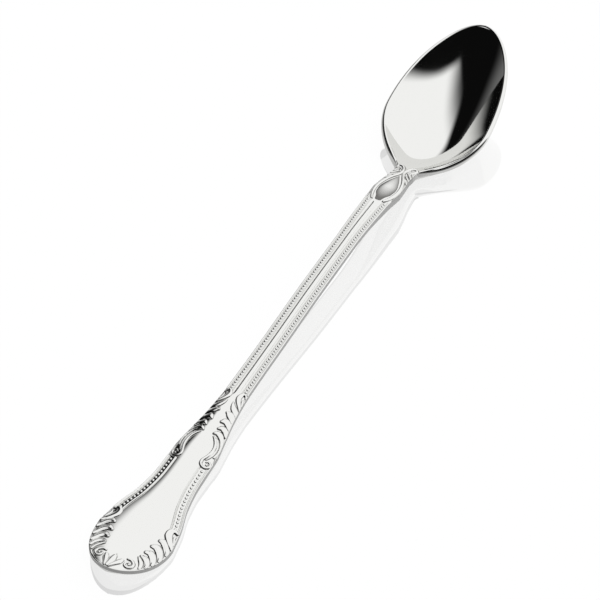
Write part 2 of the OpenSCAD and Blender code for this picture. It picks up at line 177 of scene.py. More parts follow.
# Powers of the egg behind and past its widest place, of the sections, and of the blends of
# width and depth where the bowl grows out of the throat
EGG_POWERS = (1, 0.54)
HOLLOW_POWER = 2.1
BACK_POWER = 10
WIDTH_BLEND = 3
DEPTH_BLEND = 6
# How much of the thickness the upright side takes
SIDE_SHARE = 0.7


class Spoon:
    """The spoon's outline, heights and faces, in millimetres."""

    def __init__(self):
        for name in SpoonSizes.__annotations__:
            setattr(self, name, getattr(sizes(), name) / MM)
        self.stem_start = self.terminal_l + self.shoulder_l
        self.neck_start = self.stem_start + self.stem_l
        self.joint = self.neck_start + self.neck_l
        self.bowl_start = self.joint + self.throat_l
        self.length = self.bowl_start + self.bowl_l
        self.wide = self.bowl_start + 0.4 * self.bowl_l
        self.hollow_start = self.bowl_start + 0.02 * self.bowl_l
        self.valley = self.bowl_start + 0.07 * self.bowl_l
        self.rest = 0.91 * self.widest_l
        self.crest = self.neck_start - 0.82 * self.neck_l
        self.swell_start = self.neck_start - self.neck_l
        self.neck_wide = self.neck_start + 0.43 * self.neck_l
        self.throat = self.joint - 0.11 * self.neck_l
        self.border_start = 1.45 * self.widest_l
        self.lowest = self.bowl_start + 0.283 * self.bowl_l
        self.easing = 1.154 * self.bowl_l
        self.taper_end = self.stem_start + 0.35 * self.shoulder_l
        self.panel_end = self.stem_start - 0.35 * self.shoulder_l
        crown = self.terminal_crown
        self.crowns = [(0, 0.3 * crown), (self.widest_l, crown), (self.terminal_l, 0.8 * crown),
                       (self.stem_start, self.stem_crown), (self.joint, self.stem_crown)]
        self.thicknesses = [
            (0, 0.95 * self.terminal_t), (self.rest, self.terminal_t),
            (self.terminal_l, self.terminal_t), (self.stem_start, self.stem_t),
            (self.crest, self.stem_t), (self.neck_wide, self.neck_t), (self.joint, self.throat_t)]

    def edge_z(self, y):
        """Height of the handle's top edge and of the bowl's rim."""
        tip = self.terminal_t + (self.tip_h - self.terminal_t) * (1 - y / self.rest) ** 2
        return np.select(
            [y < self.rest, y < self.crest, y < self.valley],
            [tip, between(RISE, y, self.rest, self.crest, self.terminal_t, self.arch_h),
             between(DIP, y, self.crest, self.valley, self.heel_h, self.arch_h)],
            between(CLIMB, y, self.valley, self.length, self.heel_h, self.bowl_tip_h))

    def egg(self, y):
        """Half the width of the bowl's egg."""
        v = np.where(y < self.wide, (self.wide - y) / (self.wide - self.bowl_start),
                     (y - self.wide) / (self.length - self.wide))
        power = np.where(y < self.wide, *EGG_POWERS)
        return self.bowl_w / 2 * np.clip(1 - v * v, 0, None) ** power

    def swell(self, y):
        return np.clip((y - self.joint) / (self.wide - self.joint), 0, 1)

    def grown(self, y):
        """How far the bowl's rim and belly have grown out of the throat's."""
        return np.clip(3 * self.swell(y), 0, 1)

    def half_w(self, y):
        """Half the width of the spoon."""
        round_share = np.sqrt(np.clip(1 - (1 - y / self.widest_l) ** 2, 0, None))
        throat = self.throat_w / 2 * (1 - self.swell(y) ** 2)
        return np.select(
            [y < self.widest_l, y < self.terminal_l, y < self.taper_end, y < self.neck_wide,
             y < self.throat],
            [self.terminal_w / 2 * round_share,
             between(FLARE, y, self.widest_l, self.terminal_l, self.waist_w, self.terminal_w) / 2,
             between(TAPER, y, self.terminal_l, self.taper_end, self.stem_w, self.waist_w) / 2,
             between(SWELL, y, self.swell_start, self.neck_wide, self.stem_w, self.neck_w) / 2,
             between(DRAW_IN, y, self.neck_wide, self.throat, self.throat_w, self.neck_w) / 2],
            (throat ** WIDTH_BLEND + self.egg(y) ** WIDTH_BLEND) ** (1 / WIDTH_BLEND))

    def pillow(self, x, y):
        """The panel's swell, which starts under the ornament and dies out towards the stem."""
        half, least = self.half_w(y), 0.5
        start, end = 0.1 * half, np.maximum(half, least)
        up = np.clip((self.edge_distance(x, y) - start) / (end - start), 0, 1)
        fade = curve([(self.panel_end, 1), (self.stem_start - 1, 0)], y)
        return self.panel_rise * fade * (1 - (1 - up) ** 2)

    def face_z(self, x, y):
        """Height of the plain face that carries the mouldings."""
        drop = self.ridge_h * curve([(self.joint, 1), (self.valley, 0)], y)
        crown = np.where(y > self.joint, self.stem_crown * (1 - self.swell(y)),
                         curve(self.crowns, y))
        share = np.clip(np.abs(x) / np.maximum(self.half_w(y), 1e-6), 0, 1)
        return self.edge_z(y) - drop + crown * (1 - share ** 2) + self.pillow(x, y)

    def back_z(self, share, y):
        t = curve(self.thicknesses, y)
        side = SIDE_SHARE * t
        return self.edge_z(y) - side - (t - side) * (1 - np.abs(share) ** BACK_POWER)

    def hollow_depth(self, y):
        """Depth of the hollow's middle line, which climbs both ways from its lowest place."""
        def climb(at):
            away = (at - self.lowest) / self.easing
            return away + np.exp(-away) - 1
        start, end = self.hollow_start, self.length - self.rim_w
        tip_z = self.face_z(0.0, np.array(end))
        low = self.bowl_t + (tip_z - self.bowl_t) * climb(y) / climb(end)
        inside = (y > start) & (y < end)
        return np.where(inside, np.clip(self.face_z(0.0, y) - low, 0, None), 0)

    def belly_z(self, share, y):
        grown = self.grown(y)
        side = SIDE_SHARE * self.throat_t * (1 - grown) + self.rim_edge_h * grown
        power = BACK_POWER + (HOLLOW_POWER - BACK_POWER) * grown
        a = self.throat_t * (1 - self.swell(y) ** 2)
        b = self.hollow_depth(y) + self.bowl_t
        depth = (a ** DEPTH_BLEND + b ** DEPTH_BLEND) ** (1 / DEPTH_BLEND)
        least = 0.2 * self.bowl_t
        return self.edge_z(y) - side - np.clip(depth - side, least, None) * (
            1 - np.abs(share) ** power)

    def outward(self, y):
        """The outline's outward direction in plan on the right side."""
        reach = np.clip(np.minimum(y, self.length - y) / 2, 1e-7, 1e-3)
        slope = (self.half_w(y + reach) - self.half_w(y - reach)) / (2 * reach)
        normal = np.stack([np.ones_like(slope), -slope], -1)
        normal /= np.linalg.norm(normal, axis=-1, keepdims=True)
        normal[y <= 1e-6] = (0, -1)
        normal[y >= self.length - 1e-6] = (0, 1)
        return normal

    def inset(self, y, distance):
        """Points on the right side, moved in from the outline by a distance."""
        point = np.stack([self.half_w(y), y], -1)
        point -= self.outward(y) * np.asarray(distance)[..., None]
        point[..., 0] = np.clip(point[..., 0], 0, None)
        return point

    def edge_distance(self, x, y):
        """How far a point of the face is from the outline."""
        half, step, far = self.half_w(y), 1e-3, 1e3
        rise = self.half_w(y + step) - self.half_w(np.clip(y - step, 0, None))
        slope = np.abs(rise) / (2 * step)
        beside = (half - np.abs(x)) / np.sqrt(1 + slope ** 2)
        wide = self.terminal_w / 2
        share = np.clip(np.abs(x) / wide, 0, 0.999)
        end = self.widest_l * (1 - np.sqrt(1 - share ** 2))
        lean = self.widest_l / wide * share / np.sqrt(1 - share ** 2)
        before = np.where(y < self.widest_l, (y - end) / np.sqrt(1 + lean ** 2), far)
        return np.minimum(beside, before)


def spaced(start, end, steps):
    return np.linspace(start, end, steps + 1)


# Meshes


def link(name, data):
    """Puts a new object in the scene."""
    item = bpy.data.objects.new(name, data)
    bpy.context.scene.collection.objects.link(item)
    return item


def finish_piece(node, mesh):
    """Makes a mesh the piece that stands for a node."""
    mesh.name = node + "_dressed"
    piece = link(mesh.name, mesh)
    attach(piece, "root")
    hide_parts(node)


def put_mesh(node, slot, points, faces, materials, face_material=None, crease=40, shares=None):
    """Makes a node's piece from points in millimetres; shares is a value kept on each point."""
    points = (np.asarray(points, float) - (0, Spoon().length / 2, 0)) * MM
    mesh = bpy.data.meshes.new(node)
    mesh.from_pydata(points.tolist(), [], faces)
    for material in materials:
        mesh.materials.append(material)
    if face_material is not None:
        mesh.polygons.foreach_set("material_index", face_material)
    if shares is not None:
        mesh.attributes.new("crest", "FLOAT", "POINT").data.foreach_set("value", shares)
    mesh.shade_smooth()
    mesh.set_sharp_from_angle(angle=math.radians(crease))
    mesh.validate()
    finish_piece(node, mesh)


def loft(rings):
    """Points and faces of a closed body through rings, with flat ends."""
    count, around = rings.shape[:2]
    here = np.arange(count - 1)[:, None] * around + np.arange(around)
    turn = np.arange(count - 1)[:, None] * around + (np.arange(around) + 1) % around
    sides = np.stack([here, turn, turn + around, here + around], -1).reshape(-1, 4)
    last = (count - 1) * around
    ends = [list(range(around))[::-1], list(range(last, last + around))]
    return rings.reshape(-1, 3), sides.tolist() + ends


# How high the edge of the base stands above its face, behind the mouldings and lobes
LIP_BORDER = 0.24
LIP_LEAF = 0.1


def lip(spoon, y):
    turn = 0.25
    rows = [(0, LIP_LEAF), (spoon.border_start - turn, LIP_LEAF),
            (spoon.border_start + turn, LIP_BORDER), (spoon.terminal_l - turn, LIP_BORDER),
            (spoon.terminal_l + turn, LIP_LEAF), (spoon.stem_start - 2 * turn, LIP_LEAF),
            (spoon.stem_start, LIP_BORDER), (spoon.neck_start, LIP_BORDER),
            (spoon.neck_start + 3, LIP_LEAF), (spoon.joint, LIP_LEAF),
            (spoon.valley - 2, 0), (spoon.length, 0)]
    return curve(rows, y)


# The wall's points as shares of its lean and of its height
WALL = [(0, 0), (0, 0.3), (0.05, 0.45), (0.2, 0.62), (0.45, 0.8), (0.7, 0.92), (1, 1)]


def body_rings(spoon, y, top, bottom, rim, lean, steps):
    """Rings of a body whose right edge strip follows the outline, and the strip's wall faces.

    top and bottom give heights from a share of the half width; lean is how far the wall's top
    stands in from the outline; rim lists the insets from there and the drops below the edge's
    top of the points that turn the wall over onto the face; steps are those across the face and
    the back."""

    def top_edge(distance):
        at = spoon.inset(y, distance + lean)
        level = np.where(lean > 0, at[:, 1], y)
        return at, spoon.face_z(spoon.half_w(level), level) + lip(spoon, y)
    z_low = bottom(np.ones_like(y), y)
    wall_h = top_edge(0 * y)[1] - rim[0][1] - z_low
    strip = [np.column_stack([spoon.inset(y, lean * inward), z_low + wall_h * up])
             for inward, up in WALL]
    for distance, drop in rim[1:]:
        at, z_top = top_edge(distance + 0 * y)
        strip.append(np.column_stack([at, z_top - drop]))
    q, yq = top_edge(rim[-1][0] + 0 * y)[0].T
    across = np.sin(np.radians(spaced(90, -90, steps[0])))[1:-1]
    face = [np.column_stack([q * s, yq, top(q * s, q, yq)]) for s in across]
    strip[-1][:, 2] = top(q, q, yq)
    under = np.sin(np.radians(spaced(-90, 90, steps[1])))[1:-1]
    back = [np.column_stack([spoon.half_w(y) * s, y, bottom(s + 0 * y, y)]) for s in under]
    flip = np.array([-1, 1, 1])
    mirrored = [points * flip for points in strip[::-1]]
    rings = np.stack(back + strip + face + mirrored, 1)
    ring, wall = np.zeros(rings.shape[1], int), len(WALL) - 1
    ring[len(back):len(back) + wall] = ring[-1 - wall:-1] = 1
    return rings, ring


def put_body(node, spoon, y, top, bottom, rim, lean, steps, crease=40):
    rings, wall = body_rings(spoon, y, top, bottom, rim, lean, steps)
    index = np.concatenate([np.tile(wall, len(y) - 1), [0, 0]])
    # How far the bowl has grown, kept on each point: it makes the edge buffed and takes the
    # painted shade off its sides.
    buffed = np.repeat(spoon.grown(y), rings.shape[1])
    put_mesh(node, "polished_steel", *loft(rings), [polished_steel(), blanked_edge()], index,
             crease, buffed)


# Relief


def spline(path, count):
    """Points along a smooth path through the given ones."""
    path = np.asarray(path, float)
    n = len(path) - 1
    s = np.linspace(0, n, count)
    i = np.minimum(s.astype(int), n - 1)
    t = (s - i)[:, None]
    a, b = path[np.maximum(i - 1, 0)], path[i]
    c, d = path[i + 1], path[np.minimum(i + 2, n)]
    return (2 * b + (c - a) * t + (2 * a - 5 * b + 4 * c - d) * t ** 2
            + (3 * b - a - 3 * c + d) * t ** 3) / 2


def nearest(points, path):
    """Share along a path of its point nearest to each point, and the distance to its right."""
    a, step = path[:-1], np.diff(path, axis=0)
    away = points[:, None, :] - a
    t = np.clip((away * step).sum(-1) / (step ** 2).sum(-1), 0, 1)
    gap = away - t[..., None] * step
    i = (gap ** 2).sum(-1).argmin(1)
    row = np.arange(len(points))
    side = np.sign(step[i, 1] * gap[row, i, 0] - step[i, 0] * gap[row, i, 1])
    return (i + t[row, i]) / len(step), side * np.linalg.norm(gap[row, i], axis=1)


# Points of a strand's line for each one given, the roundness of its section, the half width
# under which it gets lower, and the depth of its flutes as a share
STRAND_POINTS = 12
STRAND_POWER = 0.62
THIN_STRAND = 0.4
FLUTE_DEPTH = 0.2


def strand_relief(spoon, x, y, path, halves, height=1.0, lean=0.0, flutes=0):
    """Height of one strand over points of the right side, as a share of the relief's height.

    path holds shares of the half width and places along the spoon; halves the half widths in
    millimetres along it; lean moves the crest to the right of the path's run."""
    path = np.asarray(path, float)
    plan = np.column_stack([path[:, 0] * spoon.half_w(path[:, 1]), path[:, 1]])
    line = spline(plan, STRAND_POINTS * len(plan))
    reach = max(halves) + 0.1
    low, high = line.min(0) - reach, line.max(0) + reach
    near = (x > low[0]) & (x < high[0]) & (y > low[1]) & (y < high[1])
    out = np.full(x.shape, -1.0)
    if not near.any():
        return out
    u, d = nearest(np.column_stack([x[near], y[near]]), line)
    half = np.interp(u, np.linspace(0, 1, len(halves)), halves)
    t = d / half
    body = np.clip(1 - t ** 2, 0, None) ** STRAND_POWER * (1 + lean * t)
    if flutes:
        body *= 1 - FLUTE_DEPTH * (0.5 - 0.5 * np.cos(np.pi * flutes * (t + 1))) ** 2
    body *= np.interp(half, [0, THIN_STRAND], [0, 1])
    out[near] = np.where(np.abs(t) < 1, height * body, -1)
    return out


# Width over which relief rolls down to the outline, the least height that is kept, and how far
# a patch's outer points and its underside lie below the face
ROLL_W = 0.4
LEAST_H = 0.002
SEAM_DEPTH = 0.03
PATCH_DEPTH = 0.14


def patch(node, spoon, x, y, relief, side):
    """A closed patch of relief over a grid of the face, kept where the relief stands up."""
    rows, columns = x.shape
    roll = np.clip(spoon.edge_distance(x, y) / ROLL_W, 0, 1)
    edge = lip(spoon, y)
    height = relief * spoon.leaf_h
    height = np.where(height > 0, edge + (height - edge) * np.sqrt(1 - (1 - roll) ** 2), height)
    up = height > LEAST_H
    kept = up[:-1, :-1] | up[1:, :-1] | up[:-1, 1:] | up[1:, 1:]
    for _ in range(2):
        a, b, c, d = kept[:-1, :-1], kept[:-1, 1:], kept[1:, :-1], kept[1:, 1:]
        cross = (a & d & ~b & ~c) | (b & c & ~a & ~d)
        kept[:-1, :-1] |= cross
        kept[:-1, 1:] |= cross
    face = spoon.face_z(x, y)
    top = np.stack([side * x, y, face + np.where(up, height, -SEAM_DEPTH)], -1).reshape(-1, 3)
    low = np.stack([side * x, y, face - PATCH_DEPTH], -1).reshape(-1, 3)
    total = rows * columns
    r, c = np.nonzero(kept)
    at = r * columns + c
    quad = np.stack([at, at + 1, at + 1 + columns, at + columns], -1)
    faces = [quad, quad[:, ::-1] + total]
    padded = np.pad(kept, 1)
    for dr, dc, i, j in ((-1, 0, 0, 1), (1, 0, 2, 3), (0, -1, 3, 0), (0, 1, 1, 2)):
        open_side = ~padded[r + 1 + dr, c + 1 + dc]
        a, b = quad[open_side, i], quad[open_side, j]
        faces.append(np.stack([b, a, a + total, b + total], -1))
    faces = np.concatenate(faces)
    if side < 0:
        faces = faces[:, ::-1]
    used, faces = np.unique(faces, return_inverse=True)
    shares = np.concatenate([np.clip(relief, 0, 1).ravel(), np.zeros(total)])
    put_mesh(node, "relief_steel", np.concatenate([top, low])[used],
             faces.reshape(-1, 4).tolist(), [relief_steel()], crease=75, shares=shares[used])


# The grids of relief on the right side: their step, and for each where it starts and ends along
# the spoon, in millimetres, and the share of the half width from which it reaches outward
RELIEF_STEP = 0.075
GRIDS = {"gadroon": (2.2, 18.4, 0.42), "shoulder_scroll": (34.6, 46.2, 0.1),
         "shoulder_leaves": (44.9, 58.6, 0.1), "neck_scroll": (126.2, 146.6, 0)}


def side_grid(spoon, node):
    start, end, inner = GRIDS[node]
    y = spaced(start, end, int((end - start) / RELIEF_STEP))
    widest = spoon.half_w(y).max()
    share = spaced(inner, 1, int(widest * (1 - inner) / RELIEF_STEP))
    grid_y, grid_s = np.meshgrid(y, share, indexing="ij")
    return grid_s * spoon.half_w(grid_y), grid_y


def strands(spoon, x, y, rows, *others):
    """The highest of some strands, and of any other relief, over a grid."""
    return np.max([*(strand_relief(spoon, x, y, *row) for row in rows), *others], 0)


def both_sides(node, spoon, x, y, relief):
    for name, side in SIDES.items():
        patch(f"{node}_{name}", spoon, x, y, relief, side)


def stamp(node, spoon, rows):
    x, y = side_grid(spoon, node)
    both_sides(node, spoon, x, y, strands(spoon, x, y, rows))


# Materials


def linear(code):
    """A colour in linear light from its sRGB hex code."""
    parts = [int(code[i:i + 2], 16) / 255 for i in (0, 2, 4)]
    return [p / 12.92 if p <= 0.04045 else ((p + 0.055) / 1.055) ** 2.4 for p in parts] + [1]


def add(tree, kind, inputs=None, **settings):
    """Adds a node, with its settings, and a value or a link for each named or numbered input.

    A node given for an input links its first output."""
    node = tree.nodes.new(kind)
    for name, value in settings.items():
        setattr(node, name, value)
    for name, value in (inputs or {}).items():
        if isinstance(value, bpy.types.Node):
            value = value.outputs[0]
        if isinstance(value, bpy.types.NodeSocket):
            tree.links.new(value, node.inputs[name])
        else:
            node.inputs[name].default_value = value
    return node


def finish(name):
    """Turns a function that builds a shader into one that gives the material of that name."""
    def wrap(build):
        def get():
            material = bpy.data.materials.get(name)
            if material is None:
                material = bpy.data.materials.new(name)
                material.use_nodes = True
                tree = material.node_tree
                tree.nodes.clear()
                add(tree, "ShaderNodeOutputMaterial", {"Surface": build(tree)})
            return material
        return get
    return wrap


@finish("Stainless steel, mirror-buffed")
def polished_steel(tree):
    """Stainless steel buffed to a mirror on cloth wheels.

    Faint wheel lines run along the spoon, a few hundredths of a millimetre apart, and the gloss
    wanders a little every 7 mm or so. The lines are drawn at 0.12 mm so that they show."""
    place = add(tree, "ShaderNodeTexCoord").outputs["Object"]
    along = add(tree, "ShaderNodeMapping", {"Vector": place, "Scale": (8000, 160, 8000)})
    lines = add(tree, "ShaderNodeTexNoise", {"Vector": along, "Scale": 1, "Detail": 2})
    cloud = add(tree, "ShaderNodeTexNoise", {"Vector": place, "Scale": 140, "Detail": 3})
    gloss = add(tree, "ShaderNodeMapRange", {
        "Value": cloud, "From Min": 0.3, "From Max": 0.7, "To Min": 0.035, "To Max": 0.065})
    bump = add(tree, "ShaderNodeBump", {"Height": lines, "Strength": 0.02, "Distance": 0.00002})
    return add(tree, "ShaderNodeBsdfPrincipled", {
        "Base Color": linear(colours().polished), "Metallic": 1, "Roughness": gloss,
        "Normal": bump})


@finish("Stainless steel, stamped and buffed")
def relief_steel(tree):
    """Stainless steel stamped by a die, then buffed.

    Its crests are as bright as the faces. The valleys, which the wheel doesn't reach, stay
    duller, with the die's grain, about 0.11 mm. Their greyer colour, darker the lower the relief,
    is painted shade."""
    place = add(tree, "ShaderNodeTexCoord").outputs["Object"]
    crest = add(tree, "ShaderNodeAttribute", attribute_name="crest").outputs["Fac"]
    grain = add(tree, "ShaderNodeTexNoise", {"Vector": place, "Scale": 9000, "Detail": 2})
    reach = add(tree, "ShaderNodeMapRange", {"Value": crest, "From Min": 0.05, "From Max": 0.5})
    # Paints shade into the valleys: the lower the relief, the nearer the colour comes to the
    # valley colour.
    shade_tint = add(tree, "ShaderNodeMix", {
        "Factor": reach, 6: linear(colours().painted_valley_shade), 7: linear(colours().polished)},
        data_type="RGBA")
    rough = add(tree, "ShaderNodeMapRange", {"Value": reach, "To Min": 0.26, "To Max": 0.07})
    bump = add(tree, "ShaderNodeBump", {"Height": grain, "Strength": 0.05, "Distance": 0.00002})
    return add(tree, "ShaderNodeBsdfPrincipled", {
        "Base Color": shade_tint.outputs[2], "Metallic": 1, "Roughness": rough, "Normal": bump})


@finish("Stainless steel, coined beading")
def beaded_steel(tree):
    """The same steel on beads and mouldings, too fine to show valleys of their own.

    The gloss changes from bead to bead, about every 1.1 mm."""
    place = add(tree, "ShaderNodeTexCoord").outputs["Object"]
    cloud = add(tree, "ShaderNodeTexNoise", {"Vector": place, "Scale": 900, "Detail": 2})
    rough = add(tree, "ShaderNodeMapRange", {"Value": cloud, "To Min": 0.06, "To Max": 0.14})
    return add(tree, "ShaderNodeBsdfPrincipled", {
        "Base Color": linear(colours().polished), "Metallic": 1, "Roughness": rough})


@finish("Stainless steel, blanked edge")
def blanked_edge(tree):
    """The edge that the blanking die leaves, tumbled smooth, and buffed only on the bowl.

    Along the handle it is satin, with shear marks across the thickness about 0.15 mm apart. Its
    darker colour there is painted shade on the upright sides.
    about 0.15 mm apart."""
    place = add(tree, "ShaderNodeTexCoord").outputs["Object"]
    marks = add(tree, "ShaderNodeMapping", {"Vector": place, "Scale": (3000, 6500, 700)})
    shear = add(tree, "ShaderNodeTexNoise", {"Vector": marks, "Scale": 1, "Detail": 3})
    satin = add(tree, "ShaderNodeMapRange", {"Value": shear, "To Min": 0.3, "To Max": 0.46})
    buffed = add(tree, "ShaderNodeAttribute", attribute_name="crest").outputs["Fac"]
    rough = add(tree, "ShaderNodeMapRange", {"Value": buffed, "To Min": satin, "To Max": 0.06})
    # Paints shade on the handle's sides; on the bowl the colour goes back to the polished one.
    shade_tint = add(tree, "ShaderNodeMix", {
        "Factor": buffed, 6: linear(colours().edge), 7: linear(colours().polished)},
        data_type="RGBA")
    bump = add(tree, "ShaderNodeBump", {"Height": shear, "Strength": 0.1, "Distance": 0.00003})
    return add(tree, "ShaderNodeBsdfPrincipled", {
        "Base Color": shade_tint.outputs[2], "Metallic": 1, "Roughness": rough, "Normal": bump})


# Mouldings and beads


def strip(spoon, y, side, section):
    """Points and faces of a moulding; section lists insets from the edge and heights."""
    rings, sink = [], -0.12
    for inset, height in [*section, (section[-1][0], sink), (section[0][0], sink)]:
        x, at = spoon.inset(y, inset + 0 * y).T
        rings.append(np.column_stack([side * x, at, spoon.face_z(x, at) + height]))
    return loft(np.stack(rings[::-side], 1))


def join(parts):
    points, faces, start = [], [], 0
    for part_points, part_faces in parts:
        points.append(part_points)
        faces += [[i + start for i in face] for face in part_faces]
        start += len(part_points)
    return np.concatenate(points), faces


# Sections of the mouldings: insets from the outline and heights above the face, in millimetres
STEM_OUTER = [(0.015, 0.1), (0.015, 0.27), (0.05, 0.325), (0.13, 0.35), (0.21, 0.345),
              (0.29, 0.3), (0.35, 0.2), (0.4, 0.07), (0.44, 0.01), (0.48, 0.03), (0.53, 0.11),
              (0.59, 0.14), (0.65, 0.12), (0.7, 0.04), (0.73, -0.03)]
STEM_INNER = [(1.4, -0.03), (1.44, 0.09), (1.51, 0.19), (1.57, 0.13), (1.62, 0.06),
              (1.67, 0.13), (1.73, 0.19), (1.8, 0.09), (1.85, -0.03)]
TERMINAL_OUTER = [(0.015, 0.1), (0.015, 0.27), (0.05, 0.32), (0.13, 0.345), (0.21, 0.3),
                  (0.27, 0.15), (0.33, 0.13), (0.4, 0.23), (0.49, 0.28), (0.58, 0.22),
                  (0.65, 0.08), (0.69, -0.03)]
TERMINAL_INNER = [(1.93, -0.03), (1.98, 0.09), (2.07, 0.2), (2.15, 0.13), (2.21, 0.07),
                  (2.27, 0.13), (2.35, 0.2), (2.44, 0.09), (2.49, -0.03)]
STEM_BEAD_INSET = 0.97
TERMINAL_BEAD_INSET = 1.3
BEAD_FLATNESS = 0.6
# How far past the start and end of its stretch each row begins and ends, and its steps
ROWS = {"stem_border": (-0.5, 1.5, 420), "terminal_border": (-1.6, 0.35, 180),
        "centre_rib": (-2.3, 0.8, 170), "stem_beads": (0.3, 0.4, 300),
        "terminal_beads": (-0.4, -0.4, 300)}


def row_places(spoon, row):
    start, end, steps = ROWS[row]
    if row.startswith("terminal"):
        return spaced(spoon.border_start + start, spoon.terminal_l + end, steps)
    return spaced(spoon.stem_start + start, spoon.neck_start + end, steps)


def bead_tree(material):
    """Geometry Nodes that set beads along a path at an even pitch."""
    tree = bpy.data.node_groups.new("Bead row", "GeometryNodeTree")
    sockets = tree.interface
    sockets.new_socket("Path", in_out="INPUT", socket_type="NodeSocketGeometry")
    for name in ("Pitch", "Bead diameter"):
        sockets.new_socket(name, in_out="INPUT", socket_type="NodeSocketFloat")
    sockets.new_socket("Beads", in_out="OUTPUT", socket_type="NodeSocketGeometry")
    given = add(tree, "NodeGroupInput").outputs
    path = add(tree, "GeometryNodeMeshToCurve", {"Mesh": given["Path"]})
    even = add(tree, "GeometryNodeResampleCurve", {"Curve": path, "Length": given["Pitch"]},
               mode="LENGTH")
    radius = add(tree, "ShaderNodeMath", {0: given["Bead diameter"], 1: 2}, operation="DIVIDE")
    ball = add(tree, "GeometryNodeMeshUVSphere", {"Segments": 12, "Rings": 7, "Radius": radius})
    flat = add(tree, "GeometryNodeTransform", {"Geometry": ball, "Scale": (1, 1, BEAD_FLATNESS)})
    row = add(tree, "GeometryNodeInstanceOnPoints", {"Points": even, "Instance": flat})
    real = add(tree, "GeometryNodeRealizeInstances", {"Geometry": row})
    smooth = add(tree, "GeometryNodeSetShadeSmooth", {"Geometry": real})
    steel = add(tree, "GeometryNodeSetMaterial", {"Geometry": smooth, "Material": material})
    add(tree, "NodeGroupOutput", {"Beads": steel})
    return tree


def bead_row(row, spoon, inset, pitch, name, side):
    """One row of beads, as a plain mesh."""
    y, sunk, node = row_places(spoon, row), 0.04, f"{row}_{name}"
    x, at = spoon.inset(y, inset + 0 * y).T
    points = np.column_stack([side * x, at - spoon.length / 2, spoon.face_z(x, at) - sunk]) * MM
    mesh = bpy.data.meshes.new(node + "_path")
    mesh.from_pydata(points.tolist(), [(i, i + 1) for i in range(len(y) - 1)], [])
    carrier = link(node + "_path", mesh)
    tree = bpy.data.node_groups.get("Bead row") or bead_tree(beaded_steel())
    modifier = carrier.modifiers.new("Beads", "NODES")
    modifier.node_group = tree
    given = {item.name: item.identifier for item in tree.interface.items_tree
             if item.in_out == "INPUT"}
    modifier[given["Pitch"]] = pitch * MM
    modifier[given["Bead diameter"]] = spoon.bead_d * MM
    graph = bpy.context.evaluated_depsgraph_get()
    beads = bpy.data.meshes.new_from_object(carrier.evaluated_get(graph))
    bpy.data.objects.remove(carrier)
    finish_piece(node, beads)


# The stamped strands on the right side: a path by shares of the half width and places along the
# spoon, half widths along it in millimetres, height, lean and flutes

LEAVES = [
    ([(1, 53.2), (.8, 54.1), (.62, 54.9), (.48, 55.8), (.45, 56.6), (.55, 57.3), (.72, 57.6),
      (.87, 57.3), (.95, 56.8)], [.35, .5, .62, .7, .66, .55, .45, .38, .25], 1, -.2),
    ([(1, 54.5), (.91, 55.2), (.86, 55.9), (.93, 56.4)], [.3, .34, .3, .2], .7),
    ([(.27, 54.5), (.42, 53.5), (.6, 52.8), (.8, 52.2), (1, 51.7)], [.2, .6, .85, .85, .75],
     .85, .35),
    ([(.36, 51.1), (.5, 50.95), (.65, 50.7), (.8, 50.3), (1, 49.7)], [.5, .9, 1.05, 1, .9],
     1, .45),
    ([(.36, 48.2), (.5, 48.55), (.65, 48.65), (.8, 48.4), (1, 47.7)], [.5, .9, 1.05, 1, .9],
     1, .45),
    ([(.4, 46.2), (.55, 46.6), (.7, 46.6), (.85, 46.3), (1, 45.5)], [.4, .75, .9, .85, .8],
     .95, .45)]

SCROLL = [
    ([(.32, 44.5), (.45, 44.85), (.6, 44.85), (.75, 44.4), (.88, 43.5), (.95, 42), (.945, 40.4),
      (.87, 38.9)], [.35, .7, .85, .8, .55, .36, .32, .24], 1, .3),
    ([(.5, 43.55), (.66, 43.3), (.79, 42.2), (.825, 41), (.785, 39.5), (.715, 38.3),
      (.64, 37.4)], [.16, .3, .3, .28, .28, .25, .16], .8),
    ([(.38, 43.75), (.52, 43.2), (.66, 42), (.695, 40.8), (.665, 39.4), (.585, 38.1),
      (.505, 37), (.52, 36.1), (.63, 35.55), (.79, 35.5), (.91, 36.1), (.9, 36.9), (.79, 37.25),
      (.7, 36.9)], [.2, .36, .4, .4, .4, .38, .38, .38, .38, .36, .34, .3, .28, .2], 1),
    ([(.77, 36.35), (.79, 36.45)], [.3, .3], .7),
    ([(.92, 39.8), (.98, 38.6), (1, 37.6)], [.16, .25, .2], .6)]

GADROON = [
    ([(.985, 12.4), (.9, 13.4), (.82, 14.4), (.76, 15.4), (.77, 16.4), (.86, 17), (.95, 16.7)],
     [.4, .7, .85, .95, .85, .6, .4], 1, -.2),
    ([(.985, 13.8), (.94, 14.7), (.92, 15.5), (.96, 16)], [.3, .36, .36, .25], .75),
    ([(.64, 13.1), (.73, 13.15), (.82, 12.6), (.9, 11.7), (.98, 10.7)],
     [.5, .95, .98, .85, .6], 1, .4, 2),
    ([(.56, 10.9), (.67, 11.1), (.79, 10.45), (.89, 9.4), (.97, 8.4)],
     [.5, .95, .95, .8, .55], 1, .4, 2),
    ([(.55, 8.8), (.66, 9), (.78, 8.35), (.89, 7.3), (.96, 6.5)], [.5, .9, .92, .75, .5],
     1, .4, 2),
    ([(.55, 7.25), (.65, 7.2), (.76, 6.75), (.87, 5.9), (.95, 5)], [.4, .72, .78, .68, .45],
     1, .35, 2),
    ([(.53, 6.7), (.62, 6.15), (.72, 5.55), (.82, 4.75), (.91, 3.9)], [.3, .5, .58, .52, .4],
     .9, .3)]

